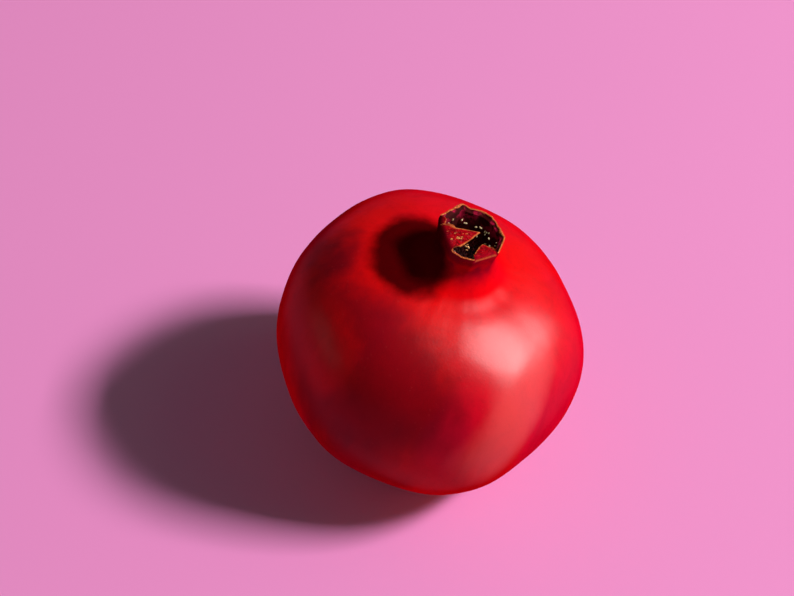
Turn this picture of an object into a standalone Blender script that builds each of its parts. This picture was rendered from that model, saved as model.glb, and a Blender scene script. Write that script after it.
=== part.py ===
# A whole pomegranate resting on a table, with the open crown of its calyx at the top.
#
# Units are metres and radians. The fruit is modelled upright about its own axis, with the middle of its
# equator at the origin, and then leans to +X as a fruit does that has settled on one side of its base.
# The world's origin is the centre of the small flat spot that it rests on.

import math
import random

import bmesh
import bpy
from mathutils import Euler, Matrix, Vector, geometry

# Body
EQUATOR_RADIUS = 0.045
TOP_HEIGHT = 0.0361  # from the equator up to the flat of the shoulder
BOTTOM_HEIGHT = 0.0395  # from the equator down to the base
TOP_SQUARENESS = 2.58  # exponents of the superellipse above and below the equator
BOTTOM_SQUARENESS = 2.08
SHOULDER_RADIUS = 0.0178  # where the shoulder starts to rise into the neck

# Ribs, which run from base to crown. Each height is a share of the local radius.
FIRST_RIB_ANGLE = math.radians(49.9)
RIB_HEIGHTS = (0.022, 0.059, 0.024, 0.022, 0.055, 0.060)
RIB_HALF_WIDTH = 0.36
RIB_MEAN_SHARE = 0.6  # how much of their mean height the ribs take off the flats between them
OVAL = 0.018
OVAL_ANGLE = math.radians(121)

# Crown. It is turned about the fruit's axis too, and then drawn out to the corners of its rim, where one sepal
# meets the next. Its rim is a little to one side.
RIM_HEIGHT = 0.0493  # from the equator
RIM_RADIUS = 0.0097
RIM_DRIFT = 0.0010  # to +X
RIM_CORNERS = {  # degrees about the rim's middle, and radius
    5: 0.0090, 45: 0.0092, 70: 0.0097, 110: 0.0114, 155: 0.0111,
    175: 0.0099, 230: 0.0103, 250: 0.0106, 270: 0.0104, 320: 0.0091,
}
NECK_RADIUS = 0.0091
NECK_HEIGHT = 0.0432
CROWN_FOOT = 0.0380  # the height from which the crown is drawn out
WALL_THICKNESS = 0.0013
LIP_ROUNDING = 0.0003  # of the rim's edges
CUP_DEPTH = 0.0118
RAGGED_HEIGHT = 0.00035  # how far the torn rim rises and falls

# Folded sepals: between which two rim corners each stands, its length past the fold, the angle it is folded
# through, and how far its tip is turned aside
FOLDED_SEPALS = (
    {"corners": (175, 230), "length": 0.0101, "fold": math.radians(95), "skew": -0.0014},
    {"corners": (270, 320), "length": 0.0034, "fold": math.radians(97), "skew": 0.0024},
    {"corners": (155, 175), "length": 0.0015, "fold": math.radians(70), "skew": 0.0},
)
SEPAL_THICKNESS = 0.0010
SEPAL_BEND_RADIUS = 0.0008
SEPAL_ROOT = 0.0022  # sunk into the wall below the bend
SEPAL_TIP_WIDTH = 0.0007
SEPAL_ARCH = 0.0005  # how far its edges lie below its middle
SEPAL_ABOVE_RIM = 0.0002

# Stamens in the cup. They stand on a pad, as seeds do in a sunflower.
STAMEN_COUNT = 56
STAMEN_FIELD_RADIUS = 0.0070
STAMEN_DEPTH_AT_WALL = 0.0052  # of the tips below the rim
STAMEN_DEPTH_AT_MIDDLE = 0.0072
FILAMENT_RADIUS = 0.00030
ANTHER_RADII = (0.00042, 0.00042, 0.00065)
PAD_RADIUS = 0.0056
PAD_THICKNESS = 0.0012
PAD_LIFT = 0.0005  # over the middle of the cup's floor, which rises to its wall
PAD_BEVEL = 0.0005
STAMEN_ROOT = 0.0006  # sunk into the pad
GOLDEN_ANGLE = math.pi * (3 - math.sqrt(5))

# Stem end
DIMPLE_DEPTH = 0.0016
DIMPLE_RADIUS = 0.0065
STUB_RADIUS = 0.0034
STUB_LENGTH = 0.0030
SOCKET_DEPTH = 0.0025

# How it lies
LEAN = math.radians(14)
REST_FLAT_DEPTH = 0.0011  # how far the lowest point of the base is pressed in
FITTING_GAP = 0.0003  # between one piece and the next

# Fineness of the mesh
TURN_STEPS = 72
BODY_ROWS = 26
SEPAL_COLUMNS = 8
SEPAL_ROWS = 14
MERGE = 0.00001

# Finishes: colour, roughness
RIND_FINISH = ((0.50, 0.012, 0.025, 1), 0.35)
STAMEN_FINISH = ((0.16, 0.055, 0.03, 1), 0.8)
STUB_FINISH = ((0.19, 0.11, 0.06, 1), 0.85)


def clear_scene():
    for obj in list(bpy.data.objects):
        bpy.data.objects.remove(obj, do_unlink=True)


def new_collection(name):
    collection = bpy.data.collections.new(name)
    bpy.context.scene.collection.children.link(collection)
    return collection


def new_object(name, mesh, collection, parent=None):
    obj = bpy.data.objects.new(name, mesh)
    collection.objects.link(obj)
    obj.parent = parent
    return obj


def finish(obj, finish_values):
    """Gives a piece its material and smooth shading."""
    colour, roughness = finish_values
    material = bpy.data.materials.new(obj.name)
    material.use_nodes = True
    shader = material.node_tree.nodes["Principled BSDF"]
    shader.inputs["Base Color"].default_value = colour
    shader.inputs["Roughness"].default_value = roughness
    obj.data.materials.clear()
    obj.data.materials.append(material)
    obj.data.shade_smooth()
    obj.data.set_sharp_from_angle(angle=math.radians(50))


def as_helper(obj):
    """A body that is joined to a piece, and isn't one itself."""
    obj.hide_render = True
    obj.display_type = "WIRE"
    return obj


def evaluated_mesh(obj):
    graph = bpy.context.evaluated_depsgraph_get()
    return bpy.data.meshes.new_from_object(obj.evaluated_get(graph))


def turned_mesh(name, profile):
    """The solid that a profile of (radius, height) makes when it is turned about Z."""
    line = bmesh.new()
    points = [line.verts.new((radius, 0, height)) for radius, height in profile]
    for start, end in zip(points, points[1:]):
        line.edges.new((start, end))
    mesh = bpy.data.meshes.new(name + "_profile")
    line.to_mesh(mesh)
    line.free()
    obj = new_object(name + "_profile", mesh, bpy.context.scene.collection)
    screw = obj.modifiers.new("Screw", "SCREW")
    screw.steps = TURN_STEPS
    screw.render_steps = TURN_STEPS
    screw.use_merge_vertices = True
    screw.merge_threshold = MERGE
    turned = evaluated_mesh(obj)
    bpy.data.objects.remove(obj, do_unlink=True)
    return turned


def curve_points(start, start_handle, end_handle, end, count):
    """Points of one Bezier stretch of a (radius, height) outline, its start left out."""
    ends = [Vector((*point, 0)) for point in (start, start_handle, end_handle, end)]
    return [(p.x, p.y) for p in geometry.interpolate_bezier(*ends, count + 1)][1:]


def superellipse_point(latitude):
    """The body's (radius, height) at a latitude from -90 to 90 degrees, before ribs."""
    above = latitude > 0
    squareness = TOP_SQUARENESS if above else BOTTOM_SQUARENESS
    height = TOP_HEIGHT if above else BOTTOM_HEIGHT
    radius = EQUATOR_RADIUS * math.cos(latitude) ** (2 / squareness)
    rise = math.copysign(abs(math.sin(latitude)) ** (2 / squareness), latitude)
    return radius, height * rise


def shoulder_latitude():
    """The latitude at which the body is as wide as the shoulder."""
    share = SHOULDER_RADIUS / EQUATOR_RADIUS
    return math.acos(share ** (TOP_SQUARENESS / 2))


def cup_profile():
    """The cup of the crown, from the middle of its floor up its inner wall to the rim."""
    floor = RIM_HEIGHT - CUP_DEPTH
    floor_edge = (0.0052, floor + 0.0002)
    waist = (0.0077, floor + 0.0042)
    inner_rim = (RIM_RADIUS - WALL_THICKNESS, RIM_HEIGHT - LIP_ROUNDING)
    return [
        (0, floor),
        *curve_points((0, floor), (0.0020, floor), (0.0040, floor), floor_edge, 2),
        *curve_points(floor_edge, (0.0066, floor + 0.0004), (0.0076, floor + 0.0020), waist, 3),
        *curve_points(waist, (0.0078, floor + 0.0068), (0.0082, floor + 0.0090), inner_rim, 4),
    ]


def neck_profile():
    """The lip of the rim and the outside of the crown, down to the shoulder."""
    shoulder = superellipse_point(shoulder_latitude())
    neck = (NECK_RADIUS, NECK_HEIGHT)
    outer_rim = (RIM_RADIUS, RIM_HEIGHT - LIP_ROUNDING)
    return [
        (RIM_RADIUS - WALL_THICKNESS + LIP_ROUNDING, RIM_HEIGHT),
        (RIM_RADIUS - LIP_ROUNDING, RIM_HEIGHT),
        outer_rim,
        *curve_points(outer_rim, (0.0095, 0.0470), (NECK_RADIUS, 0.0450), neck, 3),
        *curve_points(neck, (NECK_RADIUS, 0.0392), (0.0120, 0.0360), shoulder, 8),
    ]


def base_profile(outline):
    """The outline with a dimple round the stem end, and the socket that the stem stub sits in."""
    dimpled = [
        (radius, height + DIMPLE_DEPTH * math.exp(-((radius / DIMPLE_RADIUS) ** 2)) * (height < 0))
        for radius, height in outline
    ]
    socket = STUB_RADIUS + FITTING_GAP
    outside = [point for point in dimpled if not (point[0] < socket and point[1] < 0)]
    mouth = -BOTTOM_HEIGHT + DIMPLE_DEPTH
    return [*outside, (socket, mouth), (socket, mouth + SOCKET_DEPTH), (0, mouth + SOCKET_DEPTH)]


def fruit_profile():
    top = shoulder_latitude()
    bottom = -math.radians(88)  # the socket of the stem takes the rest
    latitudes = [top + (bottom - top) * row / BODY_ROWS for row in range(1, BODY_ROWS + 1)]
    body = [superellipse_point(latitude) for latitude in latitudes]
    return cup_profile() + base_profile(neck_profile() + body)


def rib_factor(angle):
    """How the ribs and the slight oval change the radius at an angle about the axis, at full width."""
    swell = -RIB_MEAN_SHARE * sum(RIB_HEIGHTS) / len(RIB_HEIGHTS)
    for number, height in enumerate(RIB_HEIGHTS):
        rib = FIRST_RIB_ANGLE + number * math.tau / len(RIB_HEIGHTS)
        away = (angle - rib + math.pi) % math.tau - math.pi
        swell += height * math.exp(-((away / RIB_HALF_WIDTH) ** 2))
    return swell + OVAL * math.cos(2 * (angle - OVAL_ANGLE))


def rim_radius(angle):
    """The rim's radius about its own middle: straight from corner to corner."""
    degrees = math.degrees(angle) % 360
    corners = list(RIM_CORNERS.items())
    corners = [(corners[-1][0] - 360, corners[-1][1]), *corners, (corners[0][0] + 360, corners[0][1])]
    for (start, first), (end, last) in zip(corners, corners[1:]):
        if start <= degrees <= end:
            before, after = math.radians(degrees - start), math.radians(end - degrees)
            return first * last * math.sin(before + after) / (first * math.sin(before) + last * math.sin(after))


def ragged(angle):
    """The rise and fall of the torn rim."""
    waves = ((7, 0.3, 0.5), (13, 1.9, 0.3), (23, 4.0, 0.2))
    return RAGGED_HEIGHT * sum(share * math.sin(count * angle + start) for count, start, share in waves)


def smooth_step(value):
    value = min(max(value, 0), 1)
    return value * value * (3 - 2 * value)


def shaped(point):
    """Where a point of the turned form goes: out to the ribs, or to the corners of the crown."""
    radius = math.hypot(point.x, point.y)
    angle = math.atan2(point.y, point.x)
    crown = smooth_step((point.z - CROWN_FOOT) / (RIM_HEIGHT - CROWN_FOOT))
    ribbed = 1 + rib_factor(angle) * radius / EQUATOR_RADIUS
    scale = ribbed + crown * (rim_radius(angle) / RIM_RADIUS - ribbed)
    return Vector((
        point.x * scale + crown * RIM_DRIFT,
        point.y * scale,
        point.z + crown ** 4 * ragged(angle),
    ))


def shape_fruit(mesh, turn):
    """Shapes the turned mesh and presses its base flat where it rests. Returns the middle of the flat spot."""
    for vertex in mesh.vertices:
        vertex.co = shaped(vertex.co)
    table = min((turn @ vertex.co).z for vertex in mesh.vertices) + REST_FLAT_DEPTH
    flat = []
    for vertex in mesh.vertices:
        place = turn @ vertex.co
        if place.z < table:
            place.z = table
            vertex.co = turn.inverted() @ place
            flat.append(place)
    sides = [(min(row) + max(row)) / 2 for row in zip(*((place.x, place.y) for place in flat))]
    return Vector((*sides, table))


def rim_corner(degrees):
    """A corner of the rim, in the middle of the wall."""
    angle = math.radians(degrees)
    radius = rim_radius(angle) - WALL_THICKNESS / 2
    return Vector((radius * math.cos(angle) + RIM_DRIFT, radius * math.sin(angle), RIM_HEIGHT))


def sepal_mesh(name, corners, length, fold, skew):
    """One folded sepal as an open sheet: up from its root in the wall, over the bend, and in over the mouth."""
    first, last = (rim_corner(corner) for corner in corners)
    middle = (first + last) / 2
    across = (last - first).normalized()
    inward = Vector((0, 0, 1)).cross(across)
    base_width = (last - first).length
    bend_start = RIM_HEIGHT + SEPAL_ABOVE_RIM - SEPAL_BEND_RADIUS - SEPAL_THICKNESS / 2
    bend_length = SEPAL_BEND_RADIUS * fold

    def path(distance):
        """How far in and how high the sheet is at a distance past the start of its bend."""
        if distance <= 0:
            return 0, bend_start + distance
        turned = min(distance, bend_length) / SEPAL_BEND_RADIUS
        straight = max(distance - bend_length, 0)
        inset = SEPAL_BEND_RADIUS * (1 - math.cos(turned)) + straight * math.sin(fold)
        height = SEPAL_BEND_RADIUS * math.sin(turned) + straight * math.cos(fold)
        return inset, bend_start + height

    sheet = bmesh.new()
    bmesh.ops.create_grid(sheet, x_segments=SEPAL_COLUMNS, y_segments=SEPAL_ROWS, size=0.5)
    for vertex in sheet.verts:
        side, along = vertex.co.x * 2, vertex.co.y + 0.5
        distance = -SEPAL_ROOT + along * (SEPAL_ROOT + bend_length + length)
        out = min(max(distance - bend_length / 2, 0) / (length + bend_length / 2), 1)
        width = SEPAL_TIP_WIDTH + (base_width - SEPAL_TIP_WIDTH) * (1 - out ** 1.15)
        inset, height = path(distance)
        place = middle + across * (side * width / 2 + skew * out) + inward * inset
        place.z = height - SEPAL_ARCH * side * side * min(out * 4, 1) * (1 - out)
        vertex.co = place
    mesh = bpy.data.meshes.new(name)
    sheet.to_mesh(mesh)
    sheet.free()
    return mesh


def folded_sepals(collection, parent):
    for number, values in enumerate(FOLDED_SEPALS, start=1):
        name = f"folded_sepal_{number}"
        sepal = new_object(name, sepal_mesh(name, **values), collection, parent)
        solidify = sepal.modifiers.new("Solidify", "SOLIDIFY")
        solidify.thickness = SEPAL_THICKNESS
        solidify.offset = 0
        as_helper(sepal)


def make_fruit(mesh, collection, parent, sepals):
    fruit = new_object("fruit", mesh, collection, parent)
    join = fruit.modifiers.new("Join sepals", "BOOLEAN")
    join.operation = "UNION"
    join.operand_type = "COLLECTION"
    join.collection = sepals
    finish(fruit, RIND_FINISH)
    return fruit


def filament(name, root, tip, collection, parent):
    """One filament: a thin tube that leaves the pad upright and bends out to its tip."""
    curve = bpy.data.curves.new(name, "CURVE")
    curve.dimensions = "3D"
    curve.bevel_depth = FILAMENT_RADIUS
    curve.bevel_resolution = 0
    curve.use_fill_caps = True
    spline = curve.splines.new("POLY")
    upright = root + Vector((0, 0, (tip.z - root.z) * 0.6))
    points = [root.lerp(upright, s).lerp(upright.lerp(tip, s), s) for s in (0, 0.4, 0.7, 1)]
    spline.points.add(len(points) - 1)
    for point, place in zip(spline.points, points):
        point.co = (*place, 1)
    guide = new_object(name + "_guide", curve, collection, parent)
    mesh = evaluated_mesh(guide)
    bpy.data.objects.remove(guide, do_unlink=True)
    tube = bmesh.new()
    tube.from_mesh(mesh)
    bmesh.ops.remove_doubles(tube, verts=tube.verts, dist=MERGE)
    tube.to_mesh(mesh)
    tube.free()
    return as_helper(new_object(name, mesh, collection, parent))


def anther(name, tip, tilt, collection, parent):
    """The grain at a filament's tip."""
    grain = bmesh.new()
    bmesh.ops.create_icosphere(grain, subdivisions=1, radius=1)
    bmesh.ops.scale(grain, verts=grain.verts, vec=ANTHER_RADII)
    grain.transform(Matrix.Translation(tip) @ tilt.to_matrix().to_4x4())
    mesh = bpy.data.meshes.new(name)
    grain.to_mesh(mesh)
    grain.free()
    return as_helper(new_object(name, mesh, collection, parent))


def make_stamens(collection, parent):
    """The dried stamens, fused to the pad that they grow from."""
    draw = random.Random(7)
    pad_bottom = RIM_HEIGHT - CUP_DEPTH + PAD_LIFT
    pad_top = pad_bottom + PAD_THICKNESS
    edge = PAD_RADIUS - PAD_BEVEL
    side = (PAD_RADIUS, pad_top - PAD_BEVEL)
    profile = [(0, pad_top), (edge, pad_top), side, (edge, pad_bottom), (0, pad_bottom)]
    stamens = new_object("stamens", turned_mesh("stamens", profile), collection, parent)
    repeats = new_collection("stamen_repeats")
    for number in range(STAMEN_COUNT):
        out = math.sqrt((number + 0.5) / STAMEN_COUNT)
        angle = number * GOLDEN_ANGLE + draw.uniform(-0.15, 0.15)
        direction = Vector((math.cos(angle), math.sin(angle), 0))
        depth = STAMEN_DEPTH_AT_MIDDLE + (STAMEN_DEPTH_AT_WALL - STAMEN_DEPTH_AT_MIDDLE) * out ** 6
        tip = direction * out * STAMEN_FIELD_RADIUS
        tip.z = RIM_HEIGHT - depth - draw.uniform(0, 0.0010)
        tip = shaped(tip)
        root = direction * out * (edge - 2 * FILAMENT_RADIUS)
        root.z = pad_top - STAMEN_ROOT
        tilt = Euler((draw.uniform(-0.9, 0.9), draw.uniform(-0.9, 0.9), angle))
        filament(f"filament_{number}", root, tip, repeats, parent)
        anther(f"anther_{number}", tip, tilt, repeats, parent)
    join = stamens.modifiers.new("Join stamens", "BOOLEAN")
    join.operation = "UNION"
    join.operand_type = "COLLECTION"
    join.collection = repeats
    join.solver = "MANIFOLD"
    bpy.context.view_layer.update()
    stamens.data = evaluated_mesh(stamens)
    stamens.modifiers.clear()
    for repeat in list(repeats.objects):
        bpy.data.objects.remove(repeat, do_unlink=True)
    finish(stamens, STAMEN_FINISH)
    return stamens


def make_stem_stub(collection, parent):
    """The woody end of the stem, cut nearly flush and seated in its socket."""
    top = -BOTTOM_HEIGHT + DIMPLE_DEPTH + SOCKET_DEPTH - FITTING_GAP
    stub = bmesh.new()
    bmesh.ops.create_cone(
        stub, cap_ends=True, segments=20, radius1=STUB_RADIUS, radius2=STUB_RADIUS, depth=STUB_LENGTH
    )
    bmesh.ops.translate(stub, verts=stub.verts, vec=(0, 0, top - STUB_LENGTH / 2))
    mesh = bpy.data.meshes.new("stem_stub")
    stub.to_mesh(mesh)
    stub.free()
    obj = new_object("stem_stub", mesh, collection, parent)
    bevel = obj.modifiers.new("Bevel", "BEVEL")
    bevel.width = 0.0004
    bevel.segments = 2
    finish(obj, STUB_FINISH)
    return obj


def main():
    clear_scene()
    pieces = new_collection("pomegranate")
    sepals = new_collection("folded_sepals")
    fruit_mesh = turned_mesh("fruit", fruit_profile())
    rest_spot = shape_fruit(fruit_mesh, Matrix.Rotation(LEAN, 3, "Y"))
    axis = new_object("fruit_axis", None, pieces)
    axis.rotation_euler = (0, LEAN, 0)
    axis.location = -rest_spot
    make_stamens(pieces, axis)
    make_stem_stub(pieces, axis)
    folded_sepals(sepals, axis)
    make_fruit(fruit_mesh, pieces, axis, sepals)


main()
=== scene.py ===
# The looks of a whole pomegranate that rests on a table, with the open crown of its calyx at the top.
#
# Sizes are in metres. Everything on the fruit is modelled upright about the fruit's own axis, with the middle
# of its equator at the origin, and leans over into its place at the end.

import math
import random
from functools import cache

import bmesh
import bpy
from mathutils import Euler, Matrix, Vector, geometry, noise


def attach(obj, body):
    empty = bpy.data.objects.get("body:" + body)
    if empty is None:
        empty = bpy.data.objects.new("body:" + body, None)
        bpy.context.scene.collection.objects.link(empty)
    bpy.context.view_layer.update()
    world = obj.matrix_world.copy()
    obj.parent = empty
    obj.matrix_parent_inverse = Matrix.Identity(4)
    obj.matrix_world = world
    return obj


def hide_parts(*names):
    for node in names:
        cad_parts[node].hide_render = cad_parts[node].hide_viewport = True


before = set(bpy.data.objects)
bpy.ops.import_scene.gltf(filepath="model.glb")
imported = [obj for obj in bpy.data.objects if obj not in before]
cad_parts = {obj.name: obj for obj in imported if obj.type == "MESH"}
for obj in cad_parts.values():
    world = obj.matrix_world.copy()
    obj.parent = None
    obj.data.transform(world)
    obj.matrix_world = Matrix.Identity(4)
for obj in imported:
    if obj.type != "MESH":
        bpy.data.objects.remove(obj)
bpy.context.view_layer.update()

upAxis = Vector((0, 0, 1))
merge = 0.000005

# What the rind, the crown and the stamens share
body = {
    "equatorRadius": 0.045,
    "topHeight": 0.0361,  # from the equator up to the flat of the shoulder
    "bottomHeight": 0.0395,
    "topSquareness": 2.58,  # exponents of the superellipse above and below the equator
    "bottomSquareness": 2.08,
    "shoulderRadius": 0.0178,  # where the shoulder starts to rise into the neck
    "lean": math.radians(14),
}

ribs = {
    "firstAngle": math.radians(49.9),
    "heights": (0.022, 0.059, 0.024, 0.022, 0.055, 0.060),  # shares of the local radius
    "halfWidth": 0.36,
    "meanShare": 0.6,
    "oval": 0.018,
    "ovalAngle": math.radians(121),
}

crown = {
    "rimHeight": 0.0493,  # from the equator
    "rimRadius": 0.0097,
    "rimDrift": 0.0010,  # to the side that the fruit leans to
    "corners": {  # degrees about the rim's middle, and radius
        5: 0.0090, 45: 0.0092, 70: 0.0097, 110: 0.0114, 155: 0.0111,
        175: 0.0099, 230: 0.0103, 250: 0.0106, 270: 0.0104, 320: 0.0091,
    },
    "cornerRounding": math.radians(2.5),
    "neckRadius": 0.0091,
    "neckHeight": 0.0432,
    "foot": 0.0380,  # the height from which the crown is drawn out to its corners
    "wall": 0.0013,
    "cupDepth": 0.0118,
    "floorRadius": 0.0052,  # of the cup's floor
    "waistRadius": 0.0077,  # of the cup where its wall starts to rise straight
    "waistHeight": 0.0042,  # of that place over the floor
    "floorRise": 0.0002,
    "cupCurves": (  # handles of the cup's three curves: radius, and height over the floor
        ((0.0020, 0), (0.0040, 0)),
        ((0.0066, 0.0004), (0.0076, 0.0020)),
        ((0.0078, 0.0066), (0.0082, 0.0086)),
    ),
    "neckCurves": (  # handles of the two down the outside: radius, and height from the equator
        ((0.0095, 0.0466), (0.0091, 0.0450)),
        ((0.0091, 0.0392), (0.0120, 0.0360)),
    ),
    "raggedHeight": 0.00035,
    "raggedWaves": ((7, 0.3, 0.5), (13, 1.9, 0.3), (23, 4.0, 0.2)),  # count, start, share
}

sepals = {
    "folded": (  # the rim corners it stands between, its length past the fold, its fold, its tip's place
        {"corners": (175, 230), "length": 0.0101, "fold": math.radians(95), "tipAside": -0.29},
        {"corners": (270, 320), "length": 0.0036, "fold": math.radians(97), "tipAside": 0.50, "crease": 1},
        {"corners": (155, 175), "length": 0.0009, "fold": math.radians(74), "tipAside": -0.5},
    ),
    "thickness": 0.0010,
    "bendRadius": 0.0008,
    "aboveRim": 0.0002,
    "arch": 0.0006,  # how far the sides of a folded sepal lie below its middle
    "edgeThickness": 0.00048,
    "unfoldedCorner": 0.0009,  # how far from its corners a sepal is folded through its full angle
}
bendStart = crown["rimHeight"] + sepals["aboveRim"] - sepals["bendRadius"] - sepals["thickness"] / 2
standingLip = crown["rimHeight"] - bendStart
rimMiddle = crown["rimRadius"] - crown["wall"] / 2
rimCorners = list(crown["corners"].items())
rimCorners = [  # with the last one also before the first, and the first after the last
    (rimCorners[-1][0] - 360, rimCorners[-1][1]),
    *rimCorners,
    (rimCorners[0][0] + 360, rimCorners[0][1]),
]


def smoothStep(value):
    value = min(max(value, 0), 1)
    return value * value * (3 - 2 * value)


def blend(start, end, share):
    return start + (end - start) * share


def wander(place, size, seed=0):  # noise from -1 to 1 with bumps about as wide as size
    return noise.noise(place / size + Vector((seed * 7.3, seed * 3.1, seed * 5.7)))


def bezierPoints(start, startHandle, endHandle, end, count):  # its start is left out
    ends = [Vector((*point, 0)) for point in (start, startHandle, endHandle, end)]
    return [(point.x, point.y) for point in geometry.interpolate_bezier(*ends, count + 1)][1:]


def superellipsePoint(latitude):
    above = latitude > 0
    squareness = body["topSquareness"] if above else body["bottomSquareness"]
    height = body["topHeight"] if above else body["bottomHeight"]
    rise = math.copysign(abs(math.sin(latitude)) ** (2 / squareness), latitude)
    return body["equatorRadius"] * math.cos(latitude) ** (2 / squareness), height * rise


def ribFactor(angle):  # how the ribs and the slight oval change the radius, at full width
    heights = ribs["heights"]
    swell = -ribs["meanShare"] * sum(heights) / len(heights)
    for number, height in enumerate(heights):
        rib = ribs["firstAngle"] + number * math.tau / len(heights)
        away = (angle - rib + math.pi) % math.tau - math.pi
        swell += height * math.exp(-((away / ribs["halfWidth"]) ** 2))
    return swell + ribs["oval"] * math.cos(2 * (angle - ribs["ovalAngle"]))


def straightRim(angle):  # the rim's radius about its own middle, straight from corner to corner
    degrees = math.degrees(angle) % 360
    for (start, first), (end, last) in zip(rimCorners, rimCorners[1:]):
        if start <= degrees <= end:
            before, after = math.radians(degrees - start), math.radians(end - degrees)
            span = first * math.sin(before) + last * math.sin(after)
            return first * last * math.sin(before + after) / span


def rimRadius(angle):  # with its corners a little rounded
    reach = crown["cornerRounding"]
    return sum(straightRim(angle + step * reach) for step in (-1, -0.5, 0, 0.5, 1)) / 5


def ragged(angle):
    return crown["raggedHeight"] * sum(
        share * math.sin(count * angle + start) for count, start, share in crown["raggedWaves"]
    )


def crownShare(height):  # 0 on the shoulder, 1 at the rim
    return smoothStep((height - crown["foot"]) / (crown["rimHeight"] - crown["foot"]))


@cache
def formAt(angle):  # how far out the ribs and the rim stand at an angle
    return ribFactor(angle), rimRadius(angle) / crown["rimRadius"]


def shaped(point):  # where a point of the turned form goes: out to the ribs, or to the corners of the crown
    ribbed, rim = formAt(round(math.atan2(point.y, point.x), 5))
    share = crownShare(point.z)
    scale = blend(1 + ribbed * math.hypot(point.x, point.y) / body["equatorRadius"], rim, share)
    return Vector((point.x * scale + share * crown["rimDrift"], point.y * scale, point.z))


# The fruit's place comes from the stub of its stem, the only piece that is round about the fruit's axis.
stub = {
    "radius": 0.0034,
    "length": 0.0030,
    "middle": -0.0372,  # from the equator
    "fittingGap": 0.0003,
    "socketDepth": 0.0025,
    "dimpleDepth": 0.0016,
    "dimpleRadius": 0.0065,
    "segments": 96,
    "rings": 14,
    "grooveDepth": 0.00022,
    "grooves": 17,
    "bevel": 0.0003,
}


def fruitPlace():
    turn = Matrix.Rotation(body["lean"], 4, "Y")
    upright = [turn.inverted() @ vertex.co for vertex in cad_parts["stem_stub"].data.vertices]
    middle = Vector([(min(row) + max(row)) / 2 for row in zip(*upright)])
    middle.z -= stub["middle"]
    return Matrix.Translation(turn @ middle) @ turn


place = fruitPlace()
bodyCentre = place.translation.copy()


def intoPlace(name, form):  # leans a finished form over, and makes it a piece with smooth faces
    bmesh.ops.remove_doubles(form, verts=form.verts, dist=merge)
    bmesh.ops.recalc_face_normals(form, faces=form.faces)
    form.transform(place)
    mesh = bpy.data.meshes.new(name)
    form.to_mesh(mesh)
    form.free()
    mesh.shade_smooth()
    piece = bpy.data.objects.new(name, mesh)
    bpy.context.scene.collection.objects.link(piece)
    return piece


# Rind, crown and folded sepals, which grow as one skin
rind = {
    "turnSteps": 288,
    "bodyRows": 138,
    "lipRows": 30,
    "edgeRows": 4,
    "lowest": -math.radians(88),
    "unevenSize": 0.011,
    "unevenness": 0.00022,
    "fineSize": 0.0031,
    "fineness": 0.00003,
    "neckWrinkles": 0.00012,
    "dimpleWrinkles": 0.00016,
    "dimplePleats": 23,
    "cupFolds": 0.03,  # as a share of the radius
    "cupFoldSize": 0.0017,
    "tornSize": 0.0011,  # along the rim
    "tornDepth": 0.00022,
    "curlSize": 0.0034,
    "curl": 0.00035,
    "creaseWidth": 0.00013,
    "dryWidth": 0.00026,
    "dryDepth": 0.00026,  # of the dry band down the inside of the rim
    "sepalDry": 1.6,  # how much wider the band is on a folded sepal, and on one shorter than tinySepal
    "tinySepalDry": 0.55,
    "tinySepal": 0.0022,
    "flapStart": 0.0018,  # over what length of a folded sepal its mottled skin begins; before that the painted shade of the neck carries on to the fold
    "tags": ((17, 8), (117, 6)),  # where dry tags of tissue hang at the rim: degrees, and half width
    "tagHeight": 0.00020,
    "tagWidth": 0.00030,
}


def rindProfile():
    # From the middle of the cup's floor over the lip of the crown and down to the socket of the stem
    floor = crown["rimHeight"] - crown["cupDepth"]
    floorEdge = (crown["floorRadius"], floor + crown["floorRise"])
    waist = (crown["waistRadius"], floor + crown["waistHeight"])
    half = crown["wall"] / 2
    inside = (rimMiddle - half, bendStart)
    outside = (rimMiddle + half, bendStart)
    neck = (crown["neckRadius"], crown["neckHeight"])
    top = math.acos((body["shoulderRadius"] / body["equatorRadius"]) ** (body["topSquareness"] / 2))
    shoulder = superellipsePoint(top)
    lipRise = standingLip - half
    rises = [lipRise * row / rind["lipRows"] for row in range(1, rind["lipRows"] + 1)]
    edge = [math.pi * row / (2 * rind["edgeRows"]) for row in range(1, 2 * rind["edgeRows"])]
    cupHandles = [[(radius, floor + height) for radius, height in pair] for pair in crown["cupCurves"]]
    cup = [
        (0, floor),
        *bezierPoints((0, floor), *cupHandles[0], floorEdge, 8),
        *bezierPoints(floorEdge, *cupHandles[1], waist, 10),
        *bezierPoints(waist, *cupHandles[2], inside, 22),
    ]
    lip = [
        *((inside[0], bendStart + rise) for rise in rises),
        *((rimMiddle - half * math.cos(a), bendStart + lipRise + half * math.sin(a)) for a in edge),
        *((outside[0], bendStart + rise) for rise in reversed(rises)),
        outside,
    ]
    outline = [
        *bezierPoints(outside, *crown["neckCurves"][0], neck, 10),
        *bezierPoints(neck, *crown["neckCurves"][1], shoulder, 30),
    ]
    for row in range(1, rind["bodyRows"] + 1):
        outline.append(superellipsePoint(blend(top, rind["lowest"], row / rind["bodyRows"])))
    dimple = stub["dimpleDepth"]
    dimpled = [
        (radius, height + (height < 0) * dimple * math.exp(-((radius / stub["dimpleRadius"]) ** 2)))
        for radius, height in outline
    ]
    socket = stub["radius"] + stub["fittingGap"]
    mouth = -body["bottomHeight"] + stub["dimpleDepth"]
    outline = [point for point in dimpled if point[0] > socket or point[1] > 0]
    deep = mouth + stub["socketDepth"]
    hole = [(socket, mouth), (socket, mouth + stub["socketDepth"] / 2), (socket, deep), (0, deep)]
    return [*cup, *lip, *outline, *hole]


def rimPlace(angle):  # the middle of the wall where the lip starts
    return shaped(Vector((rimMiddle * math.cos(angle), rimMiddle * math.sin(angle), bendStart)))


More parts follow.
